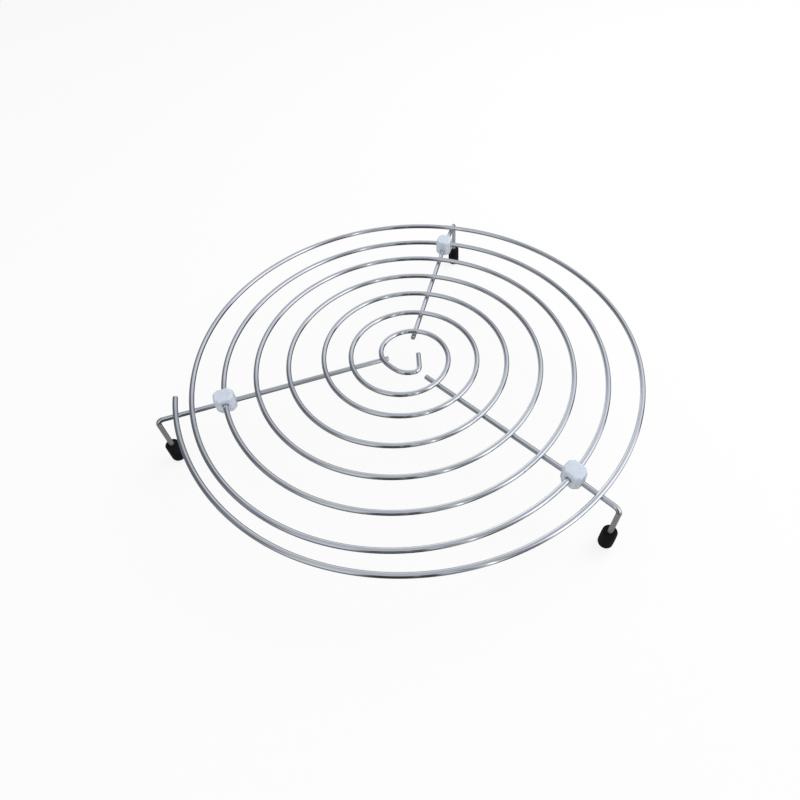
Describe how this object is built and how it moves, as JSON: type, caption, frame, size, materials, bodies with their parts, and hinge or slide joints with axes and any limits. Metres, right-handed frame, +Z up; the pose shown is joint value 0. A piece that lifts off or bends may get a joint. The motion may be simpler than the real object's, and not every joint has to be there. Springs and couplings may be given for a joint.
{
  "type": "cooling rack",
  "caption": "Round wire cooling rack wound as one flat spiral on straight rods, with wire legs that fold flat in small plastic couplings and stand on soft caps.",
  "frame": {"origin": "middle of the rack's outline seen from above, on the plane its feet rest on", "axes": "+Z up, +Y towards the back leg, +X to the right seen from the front"},
  "size_m": [0.317, 0.3112, 0.049],
  "materials": {
    "chrome_wire": "bright plated wire with fine drawing marks",
    "leg_wire": "bright plated wire, duller near the feet",
    "milky_plastic": "milky translucent moulding, soft gloss",
    "black_rubber": "matte moulded"
  },
  "bodies": {
    "rack": {"spiral_grid": "chrome_wire", "rod_left": "chrome_wire", "coupling_upper_left": "milky_plastic", "coupling_lower_left": "milky_plastic", "rod_right": "chrome_wire", "coupling_upper_right": "milky_plastic", "coupling_lower_right": "milky_plastic", "rod_back": "chrome_wire", "coupling_upper_back": "milky_plastic", "coupling_lower_back": "milky_plastic"},
    "left_leg": {"leg_left": "leg_wire", "foot_cap_left": "black_rubber"},
    "right_leg": {"leg_right": "leg_wire", "foot_cap_right": "black_rubber"},
    "back_leg": {"leg_back": "leg_wire", "foot_cap_back": "black_rubber"}
  },
  "joints": [
    {"name": "left_leg_fold", "type": "hinge", "parent": "rack", "child": "left_leg", "pos_m": [-0.11304, -0.03579, 0.0411], "axis": [-0.9536, -0.301, 0], "range_deg": [0, 90]},
    {"name": "right_leg_fold", "type": "hinge", "parent": "rack", "child": "right_leg", "pos_m": [0.09684, -0.10004, 0.0411], "axis": [0.6914, -0.7225, 0], "range_deg": [0, 90]},
    {"name": "back_leg_fold", "type": "hinge", "parent": "rack", "child": "back_leg", "pos_m": [0.03475, 0.11898, 0.0411], "axis": [0.3004, 0.9538, 0], "range_deg": [0, 90]}
  ]
}
